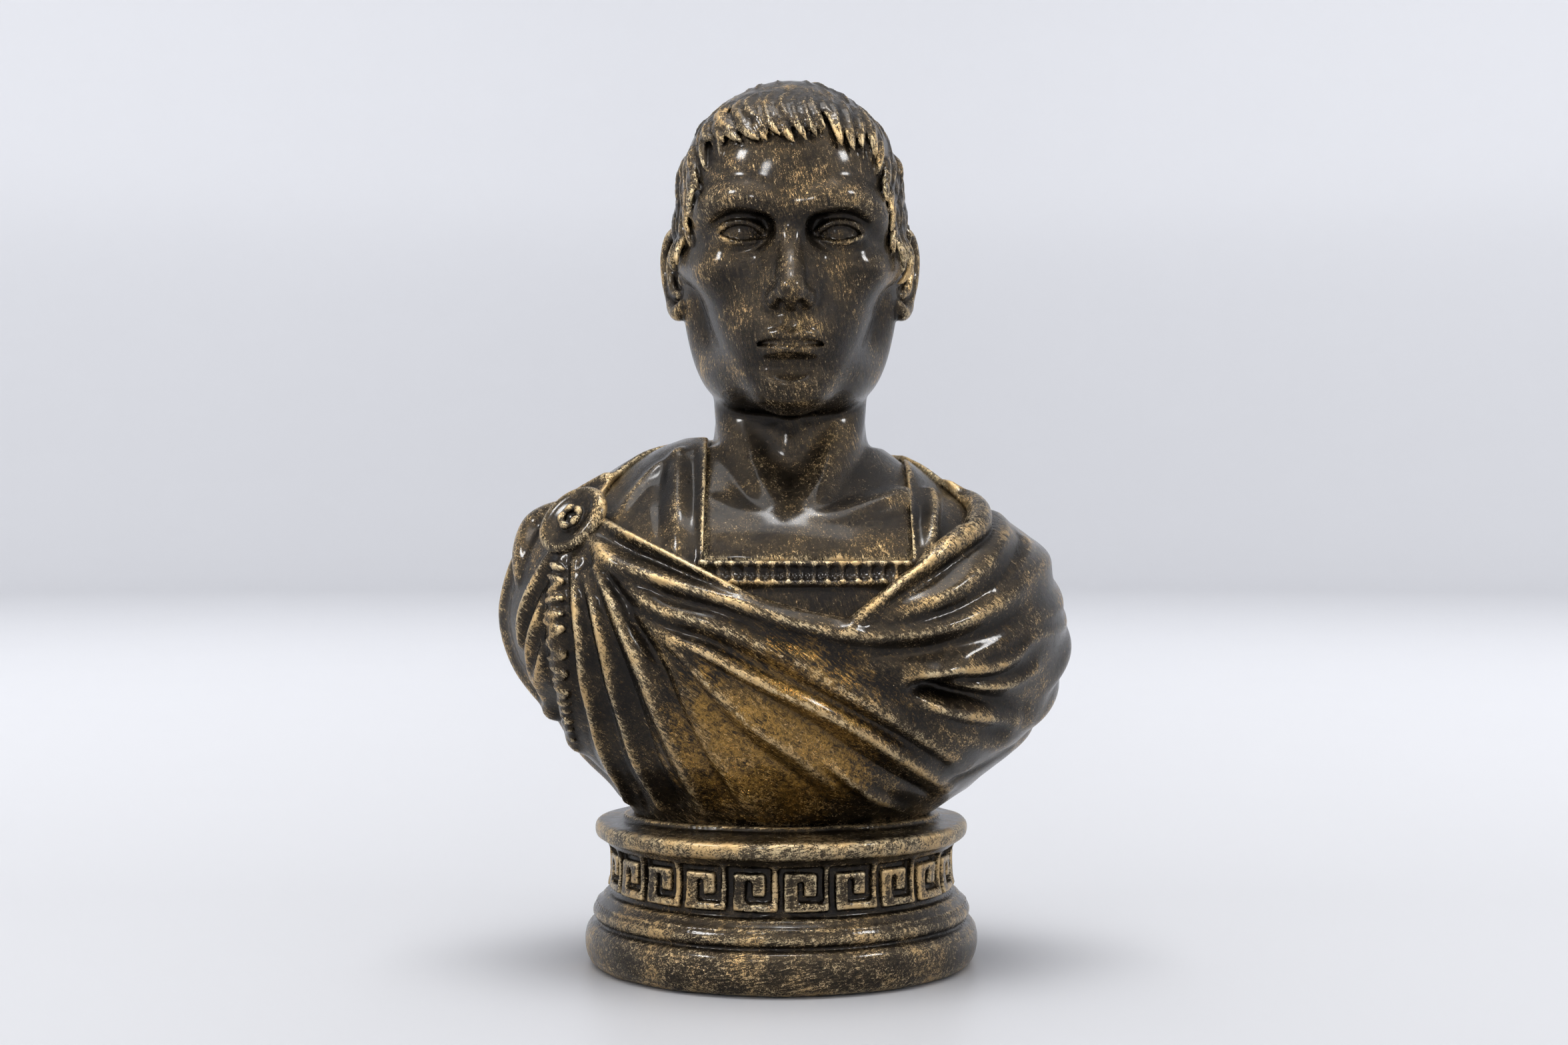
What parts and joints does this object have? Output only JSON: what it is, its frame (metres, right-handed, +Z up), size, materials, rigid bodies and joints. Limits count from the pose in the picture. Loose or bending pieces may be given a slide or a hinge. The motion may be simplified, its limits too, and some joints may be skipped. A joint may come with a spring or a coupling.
{
  "type": "portrait bust",
  "caption": "Small draped bust with short combed hair, cloak pinned at one shoulder by a round brooch, on a turned round socle.",
  "frame": {"origin": "centre of the felt pad's underside, on the socle's axis", "axes": "+Z up, the sitter faces -Y, +X towards the sitter's left shoulder"},
  "size_m": [0.0641, 0.0444, 0.1],
  "materials": {
    "bronze": "bronze-filled resin, antiqued dark brown-black, raised edges dry-brushed pale gold, satin varnish",
    "steel": "zinc-plated",
    "felt": "pressed wool felt"
  },
  "bodies": {
    "root": {"socle": "bronze", "tunic_torso": "bronze", "cloak": "bronze", "head_and_neck": "bronze", "brooch": "bronze", "mounting_stud": "steel", "stud_washer": "steel", "stud_nut": "steel", "locating_pin": "steel", "neck_dowel": "steel", "felt_pad": "felt"}
  },
  "joints": []
}
